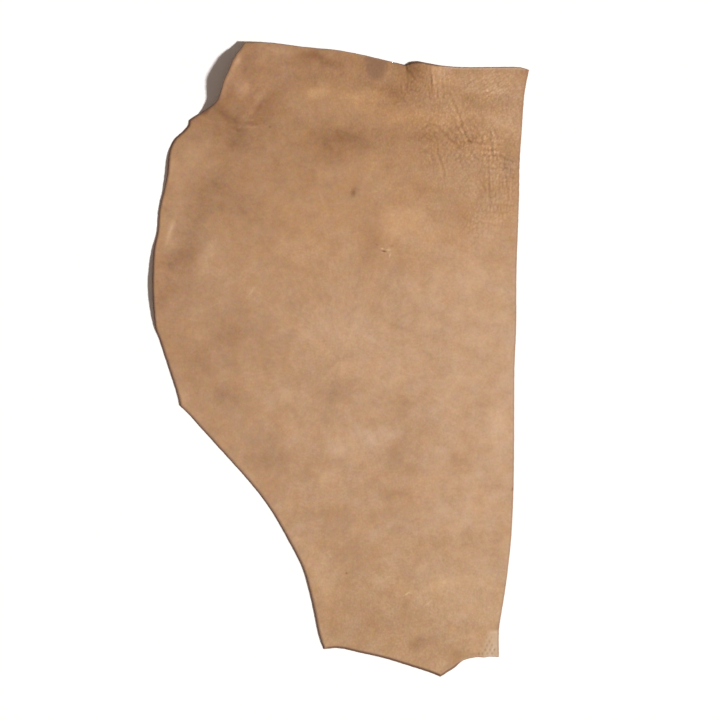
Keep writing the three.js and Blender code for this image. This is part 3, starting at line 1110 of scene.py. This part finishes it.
# %% Marks on the grain
MARKS = [
    # name, x, y, half length, half width, turn in degrees, lighter (+) or darker (-)
    ("bruise", 20, 257.5, 10.5, 5.6, 74, -0.36),
    ("vein prick", -109, 358, 2.6, 2.2, 0, -0.24),
    ("scar pit", 67, 167, 3.8, 1.5, -8, -0.75),
    ("scar rim, left", 64, 171, 2.6, 1.8, 0, 0.38),
    ("scar rim, right", 74, 169, 4.2, 1.6, -5, 0.34),
    ("scar rim, below", 76, 161, 4.2, 1.6, 75, 0.32),
    ("fly bite, upper left", 56, 177, 3.2, 1.6, -20, -0.20),
    ("fly bite, right", 79, 175, 3.2, 1.8, 20, -0.18),
    ("back edge bruise", 265, -199, 4.0, 2.4, 85, -0.50),
    ("rear prick", 9, -329, 2.4, 2.0, 0, -0.36),
    ("end of the clamp", 236, -420, 8.0, 2.6, 8, 0.22),
    ("short scratch", 103, -360, 6.5, 1.5, 30, 0.34),
    ("long scratch", 134, -376, 11.0, 1.6, 38, 0.16),
    ("withers speck", 226, 414, 1.7, 1.5, 0, 0.90),
    ("yellow rub", -262, 199, 31.0, 5.0, 70, 0.19),
    ("belly scratch", -138, 104, 26.0, 2.0, 53, 0.11),
    # The next five marks are painted light and shade: a painted highlight and painted shade on the
    # two flanks of the fold beside the ripple, painted shade along the ripple's crest, a painted
    # highlight on the curled corner's lifted edge, and painted shade at that corner's foot.
    ("fold light", 145, 437, 26.0, 2.4, 88, 0.06),
    ("fold shade", 140, 427, 30.0, 2.0, 93, -0.16),
    ("crest shade", 126, 456.9, 19.0, 1.6, -2, -0.46),
    ("rim light", -157, 460, 10.0, 5.5, 64, 0.24),
    ("curl foot shade", -209, 380, 7.0, 4.0, 35, -0.26),
    ("curl patch", -147, 421, 11.0, 8.0, 70, 0.10),
    ("curl streak", -126, 402, 18.0, 4.4, 54, 0.08),
    ("curl shade", -146, 446, 8.0, 4.0, 75, -0.14),
]
# The oval that the gradient node draws fades out at its border, so it is drawn larger and stronger.
OVAL_SIZE = 1.6
OVAL_STRENGTH = 1.5


def add_marks(tree, coordinates, value):
    """Adds each mark to a value: a soft oval in its own place, size and turn."""
    for _, x, y, half_length, half_width, turn, strength in MARKS:
        own = add(tree, "Mapping", {
            "Vector": coordinates,
            "Location": (x * MM, y * MM, 0),
            "Rotation": (0, 0, np.radians(turn)),
            "Scale": (half_length * MM * OVAL_SIZE, half_width * MM * OVAL_SIZE, 1.0),
        }, vector_type="TEXTURE")
        oval = add(tree, "TexGradient", {"Vector": own.outputs[0]},
                   gradient_type="QUADRATIC_SPHERE")
        value = add(tree, "Math", {0: oval.outputs["Fac"], 1: strength * OVAL_STRENGTH, 2: value},
                    operation="MULTIPLY_ADD").outputs[0]
    return value


print(len(MARKS), "marks")

# %% Tone of the grain side
grain, tree = new_material("vegetable_tanned_grain")
place_on_sheet = add(tree, "TexCoord").outputs["Object"]
read = {name: add(tree, "Attribute", attribute_name=name).outputs["Fac"]
        for name in values if name != "cut"}

GRAIN_SIZE = 3.4
NOISES = [
    # size in mm, detail, strength in tone
    (62.0, 2.0, 0.30),
    (21.0, 3.0, 0.34),
    (7.0, 1.5, 0.12),
    (GRAIN_SIZE, 1.5, 0.20),
]
tone = add_marks(tree, place_on_sheet, read["tone"])
for size, detail, strength in NOISES:
    cloud = add(tree, "TexNoise", {"Vector": place_on_sheet, "Scale": 1 / (size * MM),
                                   "Detail": detail, "Roughness": 0.55})
    centred = add(tree, "Math", {0: cloud.outputs["Fac"], 1: 0.5}, operation="SUBTRACT")
    tone = add(tree, "Math", {0: centred.outputs[0], 1: strength, 2: tone},
               operation="MULTIPLY_ADD").outputs[0]

# The tops of pebbles are paler and creases and valleys darker: partly tan rubbed off the tops and
# held in the hollows, partly painted highlight on the tops and ridges and painted shade in the
# creases.
for name, strength in (("pebble", 0.28), ("crease", -0.24)):
    tone = add(tree, "Math", {0: read[name], 1: strength, 2: tone},
               operation="MULTIPLY_ADD").outputs[0]
cells = add(tree, "TexVoronoi", {"Vector": place_on_sheet, "Scale": 1 / (GRAIN_SIZE * MM)},
            feature="SMOOTH_F1")
dome = add(tree, "MapRange", {VALUE: cells.outputs["Distance"], FROM_HIGH: 0.7,
                              TO_LOW: 0.12, TO_HIGH: -0.12})
tone = add(tree, "Math", {0: dome.outputs[0], 1: read["rough"], 2: tone},
           operation="MULTIPLY_ADD").outputs[0]
print(grain.name, "has", len(tree.nodes), "nodes for its tone")

# %% Colour from the tone
# A ramp turns the tone into four tans, from a deep one that only the darkest marks reach.
TANS = [(-0.43, "#734f35"), (0.0, "#8f6b4e"), (0.45, "#af8b6c"), (1.0, "#d6b599")]
darkest = TANS[0][0]
shade = add(tree, "MapRange", {VALUE: tone, FROM_LOW: darkest})
tan = add(tree, "ValToRGB", {"Fac": shade.outputs[0]})
for place_in_ramp in (0.4, 0.6):
    tan.color_ramp.elements.new(place_in_ramp)
for stop, (at, colour) in zip(tan.color_ramp.elements, TANS):
    stop.position = (at - darkest) / (1 - darkest)
    stop.color = linear(colour)

# Mauve and gold drift over the hide, and the gold value on the mesh leans them one way.
DRIFT_SIZE = 34.0
drift = add(tree, "TexNoise", {"Vector": place_on_sheet, "Scale": 1 / (DRIFT_SIZE * MM),
                               "Detail": 3.0})
drift_share = add(tree, "MapRange", {VALUE: drift.outputs["Fac"], FROM_LOW: 0.35, FROM_HIGH: 0.65,
                                     TO_LOW: 0.25, TO_HIGH: 0.75})
gold_share = add(tree, "Math", {0: read["gold"], 1: 0.5, 2: drift_share.outputs[0]},
                 operation="MULTIPLY_ADD", use_clamp=True)
mauve_or_gold = add(tree, "Mix", {FACTOR: gold_share.outputs[0], FIRST: linear("#fafdff"),
                                  SECOND: linear("#fff9ea")}, data_type="RGBA")
warmed = add(tree, "Mix", {FACTOR: 1.0, FIRST: tan.outputs["Color"],
                           SECOND: mauve_or_gold.outputs[MIXED]},
             data_type="RGBA", blend_type="MULTIPLY")

# The neck is a little redder than the rest, and the rear a little greener.
TINTS = [
    # from this far up the hide in metres, fully at this far, tint
    (0.08, 0.26, "#fffaf0"),
    (-0.22, -0.36, "#fefffc"),
]
skin = warmed.outputs[MIXED]
up_the_hide = add(tree, "SeparateXYZ", {0: place_on_sheet}).outputs["Y"]
for start, full, tint in TINTS:
    share = add(tree, "MapRange", {VALUE: up_the_hide, FROM_LOW: start, FROM_HIGH: full})
    skin = add(tree, "Mix", {FACTOR: share.outputs[0], FIRST: skin, SECOND: linear(tint)},
               data_type="RGBA", blend_type="MULTIPLY").outputs[MIXED]

# Faint coloured speckles keep the tan from looking like paint.
SPECKLE_SIZE = 7.0
SPECKLE_SHARE = 0.034
speckles = add(tree, "TexNoise", {"Vector": place_on_sheet, "Scale": 1 / (SPECKLE_SIZE * MM),
                                  "Detail": 3.0, "Roughness": 0.6})
skin = add(tree, "Mix", {FACTOR: SPECKLE_SHARE, FIRST: skin, SECOND: speckles.outputs["Color"]},
           data_type="RGBA", blend_type="LINEAR_LIGHT").outputs[MIXED]
print(grain.name, "has", len(tree.nodes), "nodes with its colour")

# %% Stain, clamp marks and rim
# The stain, the marks and the rim lie over the tan. The pits are darkened by their depth, painted
# shade. The dark rim is partly the edge's own darker colour and partly painted shade along the edge,
# and the pale rim is partly the edge's own paler colour and partly painted highlight. A Mix node
# takes a factor below nothing as nothing, so the last layer shows only where the rim value is
# negative.
LAYERS = [
    # value, strength, colour laid over
    ("stain", 0.62, "#7f5f4b"),
    ("clamp", 0.46, "#d2c0a6"),
    # Painted shade: the pits are darkened by their depth.
    ("pit", 0.90, "#8d6a4e"),
    ("rim", 0.55, "#7d5f4c"),
    ("rim", -0.60, "#e6d2c0"),
]
for name, strength, colour in LAYERS:
    share = add(tree, "Math", {0: read[name], 1: strength}, operation="MULTIPLY")
    skin = add(tree, "Mix", {FACTOR: share.outputs[0], FIRST: skin, SECOND: linear(colour)},
               data_type="RGBA").outputs[MIXED]
print(len(LAYERS), "layers over the tan")

# %% Gloss and fine grain of the grain side
# The fine grain is a bump of a quarter of a millimetre at most, scaled by the roughness value.
FINE_SIZE = 2.6
FINE_HEIGHT = 0.26
fine = add(tree, "TexNoise", {"Vector": place_on_sheet, "Scale": 1 / (FINE_SIZE * MM),
                              "Detail": 2.0})
height = add(tree, "Math", {0: cells.outputs["Distance"], 1: -1.0, 2: fine.outputs["Fac"]},
             operation="MULTIPLY_ADD")
bump = add(tree, "Bump", {"Height": height.outputs[0], "Strength": read["rough"],
                          "Distance": FINE_HEIGHT * MM})
gloss = add(tree, "MapRange", {VALUE: drift.outputs["Fac"], FROM_LOW: 0.3, FROM_HIGH: 0.7,
                               TO_LOW: 0.68, TO_HIGH: 0.78})
leather = add(tree, "BsdfPrincipled", {
    "Base Color": skin,
    "Roughness": gloss.outputs[0],
    "IOR": 1.5,
    "Specular IOR Level": 0.3,
    "Normal": bump.outputs[0],
})
add(tree, "OutputMaterial", {"Surface": leather.outputs[0]})
print(grain.name, "has", len(tree.nodes), "nodes")

# %% [markdown]
# ## Cut edge and flesh side
#
# The knife lays bare the fibres inside: a dry brown edge, darker than the grain, with thin bands
# that run along the sheet. It is darkest at the rear, darker along the back and the neck than round
# the belly, and paler and pinker round the belly. The flesh side is the rough back of the hide, like
# coarse suede, paler and greyer than the grain, with a nap of loose fibres. Neither shines.

# %% Cut edge
cut, tree = new_material("raw_cut_edge")
where = add(tree, "TexCoord").outputs["Object"]
BANDS_PER_METRE = (120, 120, 2600)
bands = add(tree, "Mapping", {"Vector": where, "Scale": BANDS_PER_METRE})
fibres = add(tree, "TexNoise", {"Vector": bands.outputs[0], "Scale": 1.0, "Detail": 3.0})
pale_cut_colour = add(tree, "Mix", {FACTOR: fibres.outputs["Fac"], FIRST: linear("#765650"),
                         SECOND: linear("#a98270")}, data_type="RGBA")
dark_cut_colour = add(tree, "Mix", {FACTOR: fibres.outputs["Fac"], FIRST: linear("#4f3529"),
                          SECOND: linear("#806045")}, data_type="RGBA")
cut_darkness_attribute = add(tree, "Attribute", attribute_name="cut")
edge_colour = add(tree, "Mix", {FACTOR: cut_darkness_attribute.outputs["Fac"], FIRST: pale_cut_colour.outputs[MIXED],
                                SECOND: dark_cut_colour.outputs[MIXED]}, data_type="RGBA")
fray = add(tree, "Bump", {"Height": fibres.outputs["Fac"], "Strength": 0.6, "Distance": 0.2 * MM})
edge_shader = add(tree, "BsdfPrincipled", {"Base Color": edge_colour.outputs[MIXED],
                                           "Roughness": 0.9, "Normal": fray.outputs[0]})
add(tree, "OutputMaterial", {"Surface": edge_shader.outputs[0]})

# %% Flesh side
flesh, tree = new_material("raw_flesh_suede")
where = add(tree, "TexCoord").outputs["Object"]
brushed = add(tree, "Mapping", {"Vector": where, "Rotation": (0, 0, 0.5), "Scale": (1, 0.25, 1)})
NAP_SIZE = 1.6
BLOTCH_SIZE = 45.0
nap = add(tree, "TexNoise", {"Vector": brushed.outputs[0], "Scale": 1 / (NAP_SIZE * MM),
                             "Detail": 3.0})
blotches = add(tree, "TexNoise", {"Vector": where, "Scale": 1 / (BLOTCH_SIZE * MM),
                                  "Detail": 4.0})
suede = add(tree, "Mix", {FACTOR: blotches.outputs["Fac"], FIRST: linear("#a58a6b"),
                          SECOND: linear("#cfb797")}, data_type="RGBA")
nap_share = add(tree, "MapRange", {VALUE: nap.outputs["Fac"], FROM_LOW: 0.35, FROM_HIGH: 0.65,
                                   TO_HIGH: 0.35})
napped = add(tree, "Mix", {FACTOR: nap_share.outputs[0], FIRST: suede.outputs[MIXED],
                           SECOND: linear("#8c7052")}, data_type="RGBA")
rough = add(tree, "Bump", {"Height": nap.outputs["Fac"], "Strength": 0.7, "Distance": 0.4 * MM})
flesh_shader = add(tree, "BsdfPrincipled", {"Base Color": napped.outputs[MIXED],
                                            "Roughness": 0.95, "Normal": rough.outputs[0]})
add(tree, "OutputMaterial", {"Surface": flesh_shader.outputs[0]})

for material in (grain, cut, flesh):
    mesh.materials.append(material)
print("materials", [material.name for material in mesh.materials])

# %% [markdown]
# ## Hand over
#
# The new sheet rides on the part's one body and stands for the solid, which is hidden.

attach(sheet, "root")
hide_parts(SOLID)
